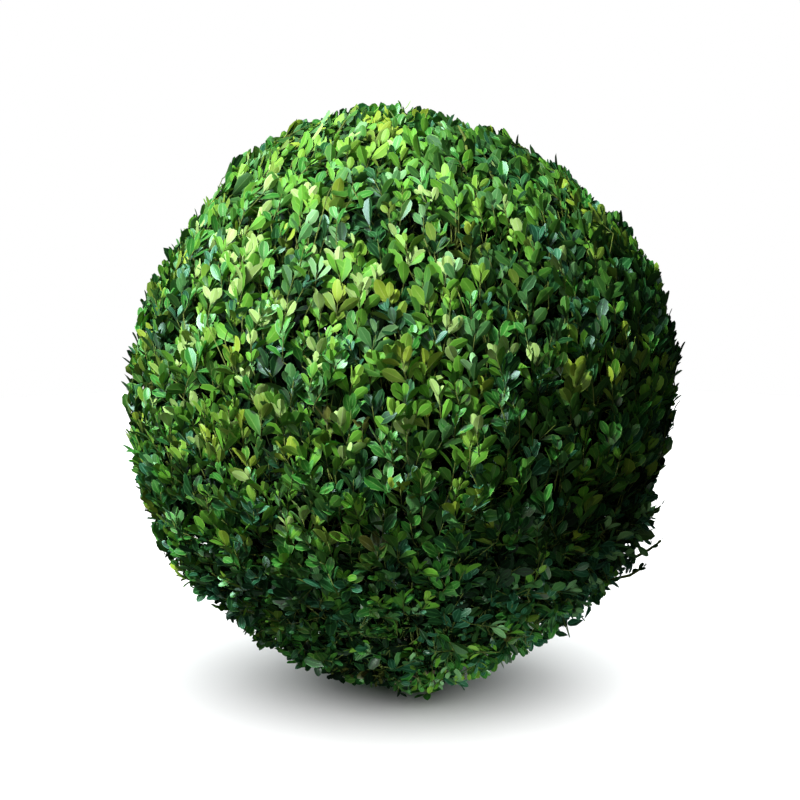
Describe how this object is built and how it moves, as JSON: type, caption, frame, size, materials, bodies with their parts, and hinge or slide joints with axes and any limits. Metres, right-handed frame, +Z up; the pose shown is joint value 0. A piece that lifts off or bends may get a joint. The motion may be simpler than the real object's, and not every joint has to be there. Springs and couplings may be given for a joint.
{
  "type": "box topiary ball",
  "caption": "Clipped evergreen shrub grown as one dense, slightly uneven ball of small oval leaves on a short hidden stem, rooted in level ground.",
  "frame": {"origin": "middle of the stem's flat cut at ground level", "axes": "+Z up along the stem; the ball's front faces -Y and +X is to the right of it"},
  "size_m": [0.4951, 0.5076, 0.5251],
  "materials": {
    "foliage": "small leathery leaves, dark and glossy above, yellow-green and matt below",
    "bark": "grey-brown, finely ridged and cracked"
  },
  "bodies": {
    "root": {"crown": "foliage", "stem": "bark"}
  },
  "joints": []
}
